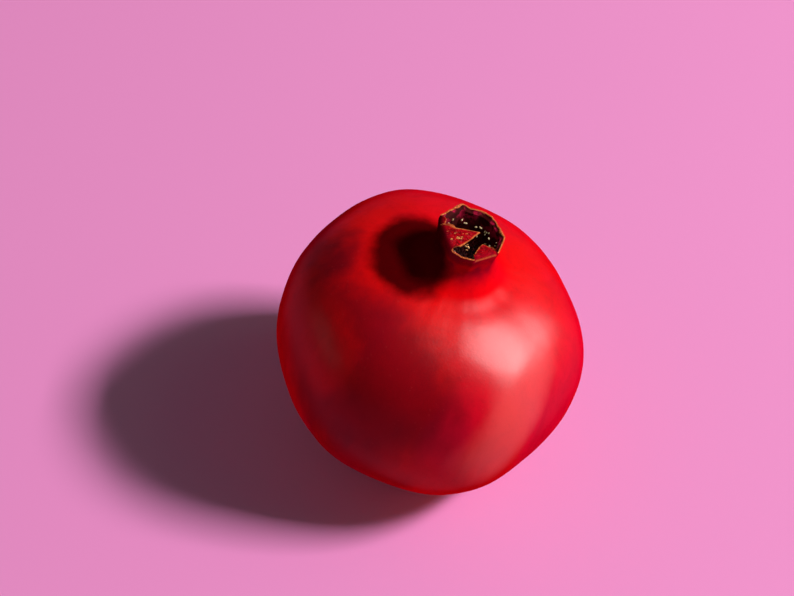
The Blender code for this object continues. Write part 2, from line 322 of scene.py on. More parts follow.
def sepalAt(angle):
    # How a column of the rim runs on: the way in over the mouth, how far it folds, its length, its place
    # across its sepal, from -1 to 1, and how dry its crease is
    degrees = math.degrees(angle) % 360
    base = rimPlace(angle)
    for sepal in sepals["folded"]:
        start, end = sepal["corners"]
        if start < degrees < end:
            first, last = (rimPlace(math.radians(corner)) for corner in (start, end))
            across = (last - first).normalized()
            halfWidth = (last - first).length / 2
            aside = (base - (first + last) / 2).dot(across)
            side = max(-1, min(1, aside / halfWidth))
            tip = sepal["tipAside"]
            slope = (side - tip) / (1 - tip) if side > tip else (tip - side) / (1 + tip)
            toCorner = (1 - abs(side)) * halfWidth
            folded = smoothStep(toCorner / sepals["unfoldedCorner"])
            out = (1 - min(slope, 1)) ** 0.87
            length = blend(standingLip, sepals["bendRadius"] * sepal["fold"], folded) + sepal["length"] * out
            return upAxis.cross(across), sepal["fold"] * folded, length, side, sepal.get("crease", 0)
    return -Vector((math.cos(angle), math.sin(angle), 0)), 0, standingLip, 0, 0


def tagAt(angle):  # 1 in the middle of a dry tag
    degrees = math.degrees(angle) % 360
    return max(math.exp(-(((degrees - middle) / width) ** 2)) for middle, width in rind["tags"])


def rimColumns():
    # One entry for each column of the rim: what sepalAt gives, with the torn edge worked into its length
    columns = {}
    for step in range(rind["turnSteps"]):
        angle = step * math.tau / rind["turnSteps"]
        inward, fold, length, side, crease = sepalAt(angle)
        where = rimPlace(angle) + inward * length
        torn = wander(where, rind["tornSize"], 1) + 0.5 * wander(where, rind["tornSize"] / 2.6, 2)
        length += rind["tornDepth"] * torn + ragged(angle) * (1 - min(fold, 1))
        length += rind["tagHeight"] * tagAt(angle)
        columns[step] = {
            "inward": inward, "fold": fold, "length": length, "side": side, "crease": crease,
            "outward": Vector((math.cos(angle), math.sin(angle), 0)),
            "base": rimPlace(angle), "tag": tagAt(angle),
        }
    run = 0
    for step in range(rind["turnSteps"]):
        columns[step]["run"] = run
        run += (columns[(step + 1) % rind["turnSteps"]]["base"] - columns[step]["base"]).length
    columns["around"] = run
    return columns


def edgeDistance(columns, step, distance):  # from a place on the rim's skin to the torn edge
    here = Vector((columns[step]["run"], distance))
    nearest = 1
    for aside in range(-24, 25):
        other = columns[(step + aside) % rind["turnSteps"]]
        run = other["run"] - here.x
        run -= columns["around"] * round(run / columns["around"])
        nearest = min(nearest, math.hypot(run, other["length"] - here.y))
    return nearest


def lipPoint(column, acrossWall, share, overEdge):
    # A point of the skin past the start of the lip. acrossWall runs from -1 inside to 1 outside, share from 0
    # to 1 up to the edge, and overEdge from 0 to 1 over its rounding.
    radius, fold = sepals["bendRadius"], column["fold"]
    half = blend(crown["wall"], sepals["edgeThickness"], smoothStep(share)) / 2
    half += rind["tagHeight"] * 1.2 * column["tag"] * share
    distance = column["length"] * share + overEdge * half - half * share
    turned = min(distance / radius, fold) if fold > 0 else 0
    straight = distance - turned * radius
    inset = radius * (1 - math.cos(turned)) + straight * math.sin(turned)
    rise = radius * math.sin(turned) + straight * math.cos(turned)
    normal = column["outward"] * math.cos(turned) + upAxis * math.sin(turned)
    outside = blend(crown["wall"], sepals["thickness"], turned) / 2  # the skin's outer side, kept smooth
    offset = outside + (acrossWall - 1) * half
    point = column["base"] + column["inward"] * inset + upAxis * rise + normal * offset
    if fold > 0:
        out = min(straight / 0.003, 1)
        point.z -= sepals["arch"] * column["side"] ** 2 * out
        point.z += rind["curl"] * wander(Vector((point.x, point.y, 0)), rind["curlSize"], 3) * out
    return point, distance


def easedToEdge(share):  # rows stand closer together near the edge
    return 1 - (1 - share) ** 1.5


def makeRind():
    form = bmesh.new()
    line = [form.verts.new((radius, 0, height)) for radius, height in rindProfile()]
    edges = [form.edges.new(pair) for pair in zip(line, line[1:])]
    bmesh.ops.spin(
        form, geom=line + edges, cent=(0, 0, 0), axis=upAxis, angle=math.tau,
        steps=rind["turnSteps"], use_merge=True,
    )
    bmesh.ops.remove_doubles(form, verts=form.verts, dist=merge)
    print("rind turned,", len(form.verts), "points")

    columns = rimColumns()
    half = crown["wall"] / 2
    lipRise = standingLip - half
    upright = form.verts.layers.float_vector.new("upright")  # what the rind's finish reads
    dry, inside, flap = (form.verts.layers.float.new(name) for name in ("dry", "inside", "flap"))
    for vertex in form.verts:
        point = vertex.co.copy()
        radius = math.hypot(point.x, point.y)
        angle = math.atan2(point.y, point.x) % math.tau
        rise = point.z - bendStart
        onLip = rise > merge
        inCup = point.z > crown["foot"] - 0.002 and radius < rimMiddle - half + merge and not onLip
        if onLip:
            step = round(angle / math.tau * rind["turnSteps"]) % rind["turnSteps"]
            column = columns[step]
            share = easedToEdge(min(rise / lipRise, 1))
            overEdge = max(rise - lipRise, 0) / half
            acrossWall = (radius - rimMiddle) / half
            vertex.co, distance = lipPoint(column, acrossWall, share, overEdge)
            away = edgeDistance(columns, step, min(distance, column["length"]))
            width = blend(rind["dryWidth"], rind["dryDepth"], acrossWall < 0)
            width += rind["tagWidth"] * column["tag"]
            if column["fold"] > 0:
                width *= rind["sepalDry"] if column["length"] > rind["tinySepal"] else rind["tinySepalDry"]
            width *= 1 + 0.35 * wander(vertex.co, 0.0009, 4) + 0.5 * wander(vertex.co, 0.0036, 14)
            vertex[dry] = 1 - smoothStep((away - width * 0.6) / (width * 0.55))
            if acrossWall > 0:
                fromCrease = (distance - sepals["bendRadius"] * column["fold"] * 0.25) / rind["creaseWidth"]
                creased = column["crease"] * smoothStep((column["fold"] - 0.7) / 0.6)
                vertex[dry] += 0.7 * creased * math.exp(-(fromCrease**2))
            vertex[inside] = smoothStep(0.5 - acrossWall * 2)
            onFlap = smoothStep(column["fold"] * 1.5) * smoothStep(distance / rind["flapStart"])
            vertex[flap] = onFlap * (acrossWall > -0.5)
            vertex.co += (vertex.co - column["base"]).normalized() * 0.00003 * wander(vertex.co, 0.0004, 5)
        else:
            vertex.co = shaped(point)
            vertex[inside] = float(inCup)
            if not inCup and radius > stub["radius"] + 0.001:
                spread = Vector((point.x, point.y, point.z * 0.45))  # long bumps run from base to crown
                lift = rind["unevenness"] * wander(spread, rind["unevenSize"], 6)
                lift += rind["fineness"] * wander(point, rind["fineSize"], 7)
                nearNeck = smoothStep((point.z - 0.030) / 0.008) * (1 - smoothStep((point.z - 0.044) / 0.003))
                around = Vector((math.cos(angle), math.sin(angle), 0)) * 0.010
                lift += rind["neckWrinkles"] * nearNeck * wander(around, 0.0016, 8)
                nearStem = math.exp(-(((radius - 0.0060) / 0.0035) ** 2)) * (point.z < 0)
                pleats = math.sin(rind["dimplePleats"] * angle + 3 * wander(around, 0.006, 9))
                lift += rind["dimpleWrinkles"] * nearStem * pleats
                fade = smoothStep((bendStart - point.z) / 0.002)
                out = Vector((point.x, point.y, max(min(point.z, 0.03), -0.039) * 1.2)).normalized()
                vertex.co += out * lift * fade
            elif inCup:
                along = Vector((vertex.co.x, vertex.co.y, vertex.co.z * 0.35))
                folds = rind["cupFolds"] * wander(along, rind["cupFoldSize"], 10)
                fade = smoothStep((bendStart - point.z) / 0.001)
                vertex.co += Vector((point.x, point.y, 0)) * folds * fade
        vertex[upright] = vertex.co
        onTable = place @ vertex.co
        if onTable.z < 0:  # pressed flat where it rests
            onTable.z = 0
            vertex.co = place.inverted() @ onTable
    for face in form.faces:
        face.material_index = all(vertex[inside] > 0.5 for vertex in face.verts)

    return intoPlace("rind", form)


# Stamens, which stand on a pad in the cup as seeds do in a sunflower
stamens = {
    "count": 56,
    "seed": 7,
    "fieldRadius": 0.0070,
    "depthAtWall": 0.0052,  # of the tips below the rim
    "depthAtMiddle": 0.0072,
    "depthSpread": 0.0010,
    "filamentRadius": 0.00019,
    "filamentRows": 7,
    "antherSize": (0.00024, 0.00021, 0.00042),
    "padRadius": 0.0056,
    "padThickness": 0.0012,
    "padLift": 0.0005,
    "padBevel": 0.0005,
    "root": 0.0006,
    "wallCount": 40,  # more of them, that grow from the wall of the cup
    "wallTips": (0.0444, 0.0468),  # the lowest and the highest, from the equator
    "wallReach": (0.0004, 0.0022),  # how far the tips stand off the wall
}
goldenAngle = math.pi * (3 - math.sqrt(5))


def stamenPlan():
    draw = random.Random(stamens["seed"])
    padTop = crown["rimHeight"] - crown["cupDepth"] + stamens["padLift"] + stamens["padThickness"]
    plan = []
    for number in range(stamens["count"]):
        out = math.sqrt((number + 0.5) / stamens["count"])
        angle = number * goldenAngle + draw.uniform(-0.15, 0.15)
        direction = Vector((math.cos(angle), math.sin(angle), 0))
        depth = blend(stamens["depthAtMiddle"], stamens["depthAtWall"], out**6)
        tip = direction * out * stamens["fieldRadius"]
        tip.z = crown["rimHeight"] - depth - draw.uniform(0, stamens["depthSpread"])
        root = direction * out * (stamens["padRadius"] - stamens["padBevel"] - 0.0006)
        root.z = padTop - stamens["root"]
        tilt = Euler((draw.uniform(-0.9, 0.9), draw.uniform(-0.9, 0.9), angle))
        tip = shaped(tip)
        bend = root + Vector((0, 0, (tip.z - root.z) * 0.6))
        chance = 0.08 + 0.6 * smoothStep((out - 0.5) / 0.4)
        plan.append({"root": root, "bend": bend, "tip": tip, "tilt": tilt, "paleChance": chance})
    return plan, padTop


def wallPoint(angle, height, offWall):
    waist = crown["rimHeight"] - crown["cupDepth"] + crown["waistHeight"]
    wall = rimMiddle - crown["wall"] / 2
    radius = blend(crown["waistRadius"], wall, (height - waist) / (bendStart - waist)) - offWall
    return shaped(Vector((radius * math.cos(angle), radius * math.sin(angle), height)))


def wallStamenPlan(draw):
    plan = []
    for number in range(stamens["wallCount"]):
        angle = number * goldenAngle + draw.uniform(-0.2, 0.2)
        height = draw.uniform(*stamens["wallTips"])
        offWall = blend(*stamens["wallReach"], draw.random() ** 1.6)
        root = wallPoint(angle, height - 0.0026, -0.0002)
        tip = wallPoint(angle, height, offWall)
        bend = wallPoint(angle, height - 0.0010, offWall * 0.9)
        tilt = Euler((draw.uniform(-1.2, 1.2), draw.uniform(-1.2, 1.2), angle))
        plan.append({"root": root, "bend": bend, "tip": tip, "tilt": tilt, "paleChance": 0.9})
    return plan


def straightFilament():  # one unit long, which every filament is bent from
    form = bmesh.new()
    bmesh.ops.create_circle(form, segments=6, radius=stamens["filamentRadius"])
    edges = form.edges[:]
    for _ in range(stamens["filamentRows"]):
        grown = bmesh.ops.extrude_edge_only(form, edges=edges)["geom"]
        ring = [item for item in grown if isinstance(item, bmesh.types.BMVert)]
        edges = [item for item in grown if isinstance(item, bmesh.types.BMEdge)]
        bmesh.ops.translate(form, verts=ring, vec=(0, 0, 1 / stamens["filamentRows"]))
    mesh = bpy.data.meshes.new("straightFilament")
    form.to_mesh(mesh)
    form.free()
    return mesh


def addFilament(form, straight, root, bend, tip):
    bent = straight.copy()
    for vertex in bent.vertices:
        share = vertex.co.z
        middle = root.lerp(bend, share).lerp(bend.lerp(tip, share), share)
        vertex.co = middle + Vector((vertex.co.x, vertex.co.y, 0)) * (1 - 0.45 * share)
    form.from_mesh(bent)
    bpy.data.meshes.remove(bent)


def addAnther(form, tip, tilt, size=1, flat=1):
    # A grain of two lobes, with a groove along it
    grain = bmesh.ops.create_icosphere(form, subdivisions=2, radius=1)["verts"]
    for vertex in grain:
        groove = math.exp(-((vertex.co.x / 0.30) ** 2))
        vertex.co.y *= 1 - 0.35 * groove
        vertex.co.x *= 1 + 0.10 * vertex.co.z
    turn = Matrix.Translation(tip) @ tilt.to_matrix().to_4x4()
    across, deep, long = (side * size for side in stamens["antherSize"])
    scale = Matrix.Diagonal((across, deep * flat, long, 1))
    bmesh.ops.transform(form, matrix=turn @ scale, verts=grain)
    return grain


def makeStamens():
    form = bmesh.new()
    pale = form.verts.layers.float.new("pale")
    plan, padTop = stamenPlan()
    edge = stamens["padRadius"] - stamens["padBevel"]
    bottom = padTop - stamens["padThickness"]
    outline = [(0, padTop), *((edge * row / 8, padTop) for row in range(1, 9))]
    outline += [(stamens["padRadius"], padTop - stamens["padBevel"]), (edge, bottom), (0, bottom)]
    line = [form.verts.new((radius, 0, height)) for radius, height in outline]
    edges = [form.edges.new(pair) for pair in zip(line, line[1:])]
    bmesh.ops.spin(
        form, geom=line + edges, cent=(0, 0, 0), axis=upAxis, angle=math.tau, steps=64, use_merge=True
    )
    bmesh.ops.remove_doubles(form, verts=form.verts, dist=merge)
    for vertex in form.verts:
        if vertex.co.z > bottom + merge:
            vertex.co.z += 0.00025 * wander(vertex.co, 0.0009, 11)
    draw = random.Random(stamens["seed"] + 1)
    straight = straightFilament()
    for stamen in plan + wallStamenPlan(draw):
        sway = Vector((draw.uniform(-1, 1), draw.uniform(-1, 1), 0)) * 0.0006
        addFilament(form, straight, stamen["root"], stamen["bend"] + sway, stamen["tip"])
        isPale = draw.random() < stamen["paleChance"]
        shade = draw.uniform(0.75, 1.0) if isPale else draw.uniform(0.0, 0.18)
        for vertex in addAnther(form, stamen["tip"], stamen["tilt"]):
            vertex[pale] = shade
    return intoPlace("driedStamens", form)


def makeStemStub():
    # The woody end of the stem, torn off nearly flush, with a soft pith and grooves down its side
    form = bmesh.new()
    top = stub["middle"] + stub["length"] / 2
    bottom = stub["middle"] - stub["length"] / 2
    faceRadius = stub["radius"] - stub["bevel"]
    outline = [(0, top), (faceRadius, top), (stub["radius"], top - stub["bevel"])]
    outline += [(stub["radius"], blend(top, bottom, row / 8)) for row in range(2, 8)]
    outline += [(stub["radius"], bottom + stub["bevel"]), (faceRadius, bottom)]
    outline += [(faceRadius * (1 - row / stub["rings"]), bottom) for row in range(1, stub["rings"] + 1)]
    line = [form.verts.new((radius, 0, height)) for radius, height in outline]
    edges = [form.edges.new(pair) for pair in zip(line, line[1:])]
    bmesh.ops.spin(
        form, geom=line + edges, cent=(0, 0, 0), axis=upAxis, angle=math.tau,
        steps=stub["segments"], use_merge=True,
    )
    bmesh.ops.remove_doubles(form, verts=form.verts, dist=merge)
    for vertex in form.verts:
        radius = math.hypot(vertex.co.x, vertex.co.y)
        angle = math.atan2(vertex.co.y, vertex.co.x)
        side = smoothStep((radius - 0.0026) / 0.0008)
        groove = 0.5 + 0.5 * math.sin(stub["grooves"] * angle + 1.5 * wander(vertex.co, 0.003, 12))
        shrink = 1 - stub["grooveDepth"] * side * groove / stub["radius"]
        vertex.co.x *= shrink
        vertex.co.y *= shrink
        if vertex.co.z < bottom + 0.0002:  # the broken face: fibres stand up round a sunken pith
            pith = math.exp(-((radius / 0.0007) ** 2))
            vertex.co.z += 0.0005 * pith + 0.00028 * (1 + wander(vertex.co, 0.0008, 13)) * (1 - 0.6 * side)
    return intoPlace("stemStub", form)


# Anthers that have fallen on the large folded sepal, and some caught at its lower edge
fallen = {
    "seed": 5,
    "heaps": (  # middle in the rim's plane, spread along and across, count, size
        ((-0.0033, -0.0027), (0.0011, 0.0003), 9, 0.95),
        ((-0.0068, -0.0014), (0.0004, 0.0001), 2, 0.50),
        ((-0.0044, -0.0010), (0.0004, 0.0001), 2, 0.50),
        ((-0.0057, -0.0040), (0.0004, 0.0002), 3, 0.65),
        ((-0.0016, -0.0007), (0.0006, 0.0002), 3, 0.50),
    ),
    "heapTurn": math.radians(38),  # which way the heaps run
    "caught": ((-0.0008, -0.0044), 0.0007, 7, 0.95),
    "caughtBelowRim": 0.0012,
}


def sepalTop():  # a way to find the height of the large folded sepal's upper side
    piece = bpy.data.objects["rind"]
    inverse = place.inverted()

    def heightAt(x, y):
        start = place @ Vector((x, y, crown["rimHeight"] + 0.01))
        down = place.to_3x3() @ -upAxis
        hit, point, _, _ = piece.ray_cast(start, down)
        return (inverse @ point).z if hit else crown["rimHeight"]

    return heightAt


def makeFallenAnthers():
    form = bmesh.new()
    pale = form.verts.layers.float.new("pale")
    draw = random.Random(fallen["seed"])
    heightAt = sepalTop()
    run = Vector((math.cos(fallen["heapTurn"]), math.sin(fallen["heapTurn"]), 0))
    for (x, y), (along, across), count, size in fallen["heaps"]:
        for _ in range(count):
            spot = Vector((x, y, 0)) + run * draw.gauss(0, along * 0.6)
            spot += run.cross(upAxis) * draw.gauss(0, across * 0.6)
            spot.z = heightAt(spot.x, spot.y) + 0.00005
            roll, turn = draw.uniform(-0.3, 0.3), draw.gauss(0, 0.4)
            tilt = Euler((math.pi / 2, roll, fallen["heapTurn"] - math.pi / 2 + turn))
            shade = draw.uniform(1.6, 2.0)
            for vertex in addAnther(form, spot, tilt, size * draw.uniform(0.7, 1.3), flat=0.45):
                vertex[pale] = shade
    (x, y), spread, count, size = fallen["caught"]
    for _ in range(count):
        spot = Vector((x + draw.gauss(0, spread * 0.6), y + draw.gauss(0, spread * 0.6), 0))
        spot.z = crown["rimHeight"] - fallen["caughtBelowRim"] + draw.uniform(-0.0004, 0.0004)
        tilt = Euler((draw.uniform(0, 1.5), draw.uniform(0, 1.5), draw.uniform(0, math.pi)))
        shade = draw.uniform(1.2, 1.6)
        for vertex in addAnther(form, spot, tilt, size * draw.uniform(0.8, 1.1)):
            vertex[pale] = shade
    return intoPlace("fallenAnthers", form)


# Finishes
class Wire:  # a socket's value, so that shader maths reads as sums
    def __init__(self, finish, socket):
        self.finish, self.socket = finish, socket

    def math(self, operation, *values):
        return self.finish.node("ShaderNodeMath", {"operation": operation}, values)

    def __add__(self, other):
        return self.math("ADD", self, other)

    def __sub__(self, other):
        return self.math("SUBTRACT", self, other)

    def __rsub__(self, other):
        return self.math("SUBTRACT", other, self)

    def __mul__(self, other):
        return self.math("MULTIPLY", self, other)

    __radd__ = __add__
    __rmul__ = __mul__


class Finish:
    def __init__(self, name):
        self.material = bpy.data.materials.new(name)
        self.material.use_nodes = True
        self.tree = self.material.node_tree
        self.tree.nodes.clear()

    def node(self, kind, settings=None, inputs=(), output=0):
        made = self.tree.nodes.new(kind)
        for name, value in (settings or {}).items():
            setattr(made, name, value)
        for key, value in inputs.items() if isinstance(inputs, dict) else enumerate(inputs):
            if isinstance(value, Wire):
                self.tree.links.new(value.socket, made.inputs[key])
            else:
                made.inputs[key].default_value = value
        return Wire(self, made.outputs[output])

    def attribute(self, name, vector=False):
        return self.node("ShaderNodeAttribute", {"attribute_name": name}, output=1 if vector else 2)

    def scaled(self, vector, amounts):
        return self.node("ShaderNodeMapping", {}, {"Vector": vector, "Scale": amounts})

    def mottle(self, vector, size, detail=2, roughness=0.5, distortion=0):  # soft noise about 0.5
        inputs = {"Vector": vector, "Scale": 1 / size, "Detail": detail, "Roughness": roughness}
        return self.node("ShaderNodeTexNoise", {}, {**inputs, "Distortion": distortion})

    def cells(self, vector, size):  # distance from the middle of the nearest cell
        return self.node("ShaderNodeTexVoronoi", {}, {"Vector": vector, "Scale": 1 / size})

    def step(self, value, low, high):  # 0 below low, 1 above high, smooth between
        settings = {"interpolation_type": "SMOOTHSTEP"}
        return self.node("ShaderNodeMapRange", settings, {0: value, 1: low, 2: high, 3: 0, 4: 1})

    def facing(self, at, direction):  # how far a place is on one side of the fruit, about 1 at most
        toSide = direction.normalized() / body["equatorRadius"]
        return self.node("ShaderNodeVectorMath", {"operation": "DOT_PRODUCT"}, [at, toSide], output=1)

    def away(self, at, middle, squeeze=(1, 1, 1)):  # distance, less along an axis with a low squeeze
        offset = self.node("ShaderNodeVectorMath", {"operation": "SUBTRACT"}, [at, middle])
        offset = self.node("ShaderNodeVectorMath", {"operation": "MULTIPLY"}, [offset, squeeze])
        return self.node("ShaderNodeVectorMath", {"operation": "LENGTH"}, [offset], output=1)

    def mix(self, share, first, second):
        first, second = (tone if isinstance(tone, Wire) else (*tone, 1) for tone in (first, second))
        return self.node("ShaderNodeMix", {"data_type": "RGBA"}, {0: share, 6: first, 7: second}, output=2)

    def bump(self, height, depth, strength=1):
        return self.node("ShaderNodeBump", {}, {"Height": height, "Distance": depth, "Strength": strength})

    def surface(self, sockets, dull=None):  # dull: where it has no gloss at all
        shader = self.node("ShaderNodeBsdfPrincipled", {}, sockets)
        if dull:
            plain = {"Roughness": 1, "Specular IOR Level": 0, "Coat Weight": 0}
            matt = self.node("ShaderNodeBsdfPrincipled", {}, {**sockets, **plain})
            shader = self.node("ShaderNodeMixShader", {}, [dull, shader, matt])
        out = self.tree.nodes.new("ShaderNodeOutputMaterial")
        self.tree.links.new(shader.socket, out.inputs["Surface"])

    def put(self, *pieces):
        for piece in pieces:
            piece.data.materials.append(self.material)


rindColours = {
    "red": (0.56, 0.0012, 0.006),
    "litTopScarlet": (0.73, 0.0012, 0.0012),
    "crimson": (0.54, 0.0008, 0.022),
    "maroon": (0.15, 0.0004, 0.006),
    # nearly black, the painted shadow of the crown
    "paintedCrownShadow": (0.020, 0.0002, 0.0008),
    # pale pink of the painted highlight
    "paintedHighlight": (0.84, 0.15, 0.14),
    # dark red of the painted shade on the neck under the crown
    "neck": (0.16, 0.0010, 0.012),
    "cork": (0.20, 0.055, 0.03),
    "pore": (0.50, 0.035, 0.035),
    "flap": (0.32, 0.0013, 0.005),
    "flapDark": (0.115, 0.001, 0.003),
    "flapFleck": (0.56, 0.040, 0.050),
    # near-black painted shade of the deep cup
    "cup": (0.046, 0.0005, 0.0014),
    "cupPatch": (0.34, 0.0030, 0.030),
    "dry": (0.46, 0.095, 0.026),
    "dryPale": (0.72, 0.215, 0.066),
    "dryDark": (0.22, 0.030, 0.010),
}


def fruitSide(azimuth, elevation):
    return Euler((0, -math.radians(elevation), math.radians(azimuth))).to_matrix() @ Vector((1, 0, 0))


rindMarks = {
    "paintedShadeMarks": (  # painted shade on the cheeks turned from the light: the side, where each starts and is full, and how strong it is
        (fruitSide(-128, 25), 0.70, 0.88, 0.72),
        (fruitSide(-117, -20), 0.86, 0.97, 0.60),
        (fruitSide(179, 48), 0.90, 0.975, 0.90),
        (fruitSide(-164, 46), 0.955, 0.99, 0.50),
        (fruitSide(-122, 58), 0.955, 0.99, 0.70),
    ),
    "paintedLightPatch": fruitSide(-150, 21),  # painted light: a patch where the painted shade is lifted, as a soft reflection would
    "highlightBandTop": fruitSide(-44, 44),  # a painted highlight down a flat, from its top to its bottom
    "highlightBandBottom": fruitSide(-68, 7),
    "paintedCrownShadow": Vector((-0.0125, 0.0016, 0.0355)),  # middle of the painted shadow that the crown casts on the shoulder beside it
    "paintedCrownShadowReach": (0.0098, 0.0150),
    "paintedCrownShadowSqueeze": (1, 0.78, 0.75),
    "glossEnds": (0.0334, 0.0370),  # heights between which the shoulder turns matt
    "rimMatt": (0.42, 0.80),  # how far a place has to turn away before its gloss fades, and is gone
}


def dryEdge(finish, at, dry, skin):  # the torn edge, dry and tan
    fibre = finish.mottle(finish.scaled(at, (1, 1, 2.2)), 0.0006, 4, 0.65)
    tan = finish.mix(finish.step(fibre, 0.45, 0.70), rindColours["dry"], rindColours["dryPale"])
    tan = finish.mix(1 - finish.step(fibre, 0.30, 0.43), tan, rindColours["dryDark"])
    return finish.mix(dry, skin, tan), fibre


def finishRind(piece):
    skin = Finish("rindSkin")
    colour = rindColours
    at = skin.attribute("upright", vector=True)
    dry, flap = skin.attribute("dry"), skin.attribute("flap")
    high = skin.node("ShaderNodeSeparateXYZ", {}, [at], output=2)

    # Broad patches that run from base to crown, then smaller blotches, and a brighter scarlet towards the
    # top, painted light of the lit upper side
    along = skin.scaled(at, (1, 1, 0.4))
    broad = skin.step(skin.mottle(along, 0.026, 2), 0.42, 0.62)
    blotch = skin.step(skin.mottle(along, 0.0085, 4, 0.6, 0.6), 0.40, 0.66)
    speckle = skin.mottle(at, 0.0011, 3, 0.6)
    base = skin.mix(broad * 0.8, colour["red"], colour["crimson"])
    # painted light: the rind turns a brighter scarlet towards the top, where light falls
    base = skin.mix(skin.step(high, 0.012, 0.036) * 0.7, base, colour["litTopScarlet"])
    base = skin.mix(blotch * 0.16, base, colour["maroon"])
    base = skin.mix(skin.step(speckle, 0.52, 0.72) * 0.12, base, colour["maroon"])

    # Painted shade on the cheeks turned from the light, the painted shadow of the crown beside it and a
    # painted highlight down a flat, streaked along the fruit
    streak = skin.mottle(skin.scaled(at, (1, 1, 0.22)), 0.0060, 3, 0.55) - 0.5
    # painted light: a patch that lifts the painted shade
    paintedLightPatch = skin.step(skin.facing(at, rindMarks["paintedLightPatch"]) + streak * 0.06, 0.90, 0.98)
    # painted shade: each mark darkens the rind towards maroon on a side that the light falls away from
    for side, start, full, share in rindMarks["paintedShadeMarks"]:
        shade = skin.step(skin.facing(at, side) + streak * (full - start) * 0.8, start, full)
        base = skin.mix(shade * (1 - paintedLightPatch * 0.85) * share, base, colour["maroon"])
    # painted shadow: a dark patch on the shoulder beside the crown, where the crown casts its shadow
    toPaintedCrownShadow = skin.away(at, rindMarks["paintedCrownShadow"], rindMarks["paintedCrownShadowSqueeze"])
    toPaintedCrownShadow = toPaintedCrownShadow + skin.mottle(at, 0.006, 3, 0.5) * 0.004 - 0.002
    paintedCrownShadow = 1 - skin.step(toPaintedCrownShadow, *rindMarks["paintedCrownShadowReach"])
    # painted highlight: a pale pink band down the flat, from its top to its bottom
    highlightBandTop, highlightBandBottom = rindMarks["highlightBandTop"], rindMarks["highlightBandBottom"]
    aside = skin.facing(at, highlightBandTop.cross(highlightBandBottom)) + streak * 0.10
    alongBand = skin.facing(at, highlightBandTop + highlightBandBottom) + streak * 0.10
    paintedHighlight = (1 - skin.step(aside * aside, 0.0, 0.075)) * skin.step(alongBand, 0.80, 0.98)
    base = skin.mix(paintedHighlight * 0.32, base, colour["paintedHighlight"])

    # Pores, painted shade on the neck under the crown, and the corky skin round the stem
    pores = 1 - skin.step(skin.cells(at, 0.0023), 0.07, 0.16)
    base = skin.mix(pores * 0.14, base, colour["pore"])
    # painted shade: the neck under the crown is darkened, unevenly
    neck = skin.step(high, 0.0365, 0.0440) * (0.5 + 0.5 * skin.step(skin.mottle(at, 0.0055, 2), 0.35, 0.65))
    base = skin.mix(neck * 0.9, base, colour["neck"])
    toStem = skin.away(at, Vector((0, 0, -body["bottomHeight"])))
    cork = 1 - skin.step(toStem + (skin.mottle(at, 0.0016, 3) - 0.5) * 0.004, 0.0042, 0.0075)
    base = skin.mix(cork * 0.85, base, colour["cork"])

    # Folded sepals: dark red, mottled with pinkish flecks
    flecks = skin.step(skin.mottle(skin.scaled(at, (1, 1.7, 1)), 0.00060, 3, 0.6), 0.55, 0.64)
    dark = skin.step(skin.mottle(at, 0.0011, 3, 0.6), 0.47, 0.62)
    flapSkin = skin.mix(dark * 0.9, colour["flap"], colour["flapDark"])
    flapSkin = skin.mix(flecks * 0.40, flapSkin, colour["flapFleck"])
    # the painted crown shadow over the rind, a quarter as strong on the folded sepals
    base = skin.mix(paintedCrownShadow * (1 - flap * 0.75) * 0.93, skin.mix(flap, base, flapSkin), colour["paintedCrownShadow"])
    base, fibre = dryEdge(skin, at, dry, base)

    rough = 0.34 + (speckle - 0.5) * 0.08 + dry * 0.4 + cork * 0.3
    leather = skin.cells(skin.scaled(at, (1, 1, 0.8)), 0.00085) * 0.5 + skin.mottle(at, 0.0005, 3, 0.6)
    relief = leather * 0.6 - pores * 0.2 + fibre * dry * 3 + flecks * flap * 1.2
    grazing = skin.step(skin.node("ShaderNodeLayerWeight", {}, [0.5], output=1), *rindMarks["rimMatt"])
    skin.surface({
        "Base Color": base,
        "Roughness": rough,
        "Specular IOR Level": 0.04,
        "Coat Weight": (1 - dry) * (1 - cork) * 0.02,
        "Coat Roughness": 0.25,
        "Normal": skin.bump(relief, 0.00008, 0.5),
    }, dull=1 - (1 - skin.step(high, *rindMarks["glossEnds"])) * (1 - paintedCrownShadow) * (1 - grazing))

    # Inside of the cup: nearly black, painted shade of the deep cup, with maroon patches under the rim
    cup = Finish("cupSkinPaintedShade")
    at = cup.attribute("upright", vector=True)
    high = cup.node("ShaderNodeSeparateXYZ", {}, [at], output=2)
    # the maroon patches fade out deeper down, where only the painted shade is left
    depth = cup.step(high, crown["rimHeight"] - 0.0056, crown["rimHeight"] - 0.0012)
    patches = cup.step(cup.mottle(at, 0.0028, 3, 0.55), 0.46, 0.58)
    base = cup.mix(depth * patches, colour["cup"], colour["cupPatch"])
    base, fibre = dryEdge(cup, at, cup.attribute("dry"), base)
    relief = cup.mottle(cup.scaled(at, (1, 1, 0.3)), 0.0011, 3, 0.6) + patches * 0.5
    cup.surface({
        "Base Color": base,
        "Roughness": 0.9,
        "Specular IOR Level": 0.02,
        "Normal": cup.bump(relief, 0.00015, 0.5),
    })
    skin.put(piece)
    cup.put(piece)


stamenColours = {  # two shades of each, which the grain mixes
    "dark": ((0.014, 0.0005, 0.0007), (0.040, 0.0014, 0.0018)),
    "cream": ((0.62, 0.36, 0.16), (0.90, 0.72, 0.45)),
    "tan": ((0.40, 0.10, 0.020), (0.66, 0.26, 0.07)),
}


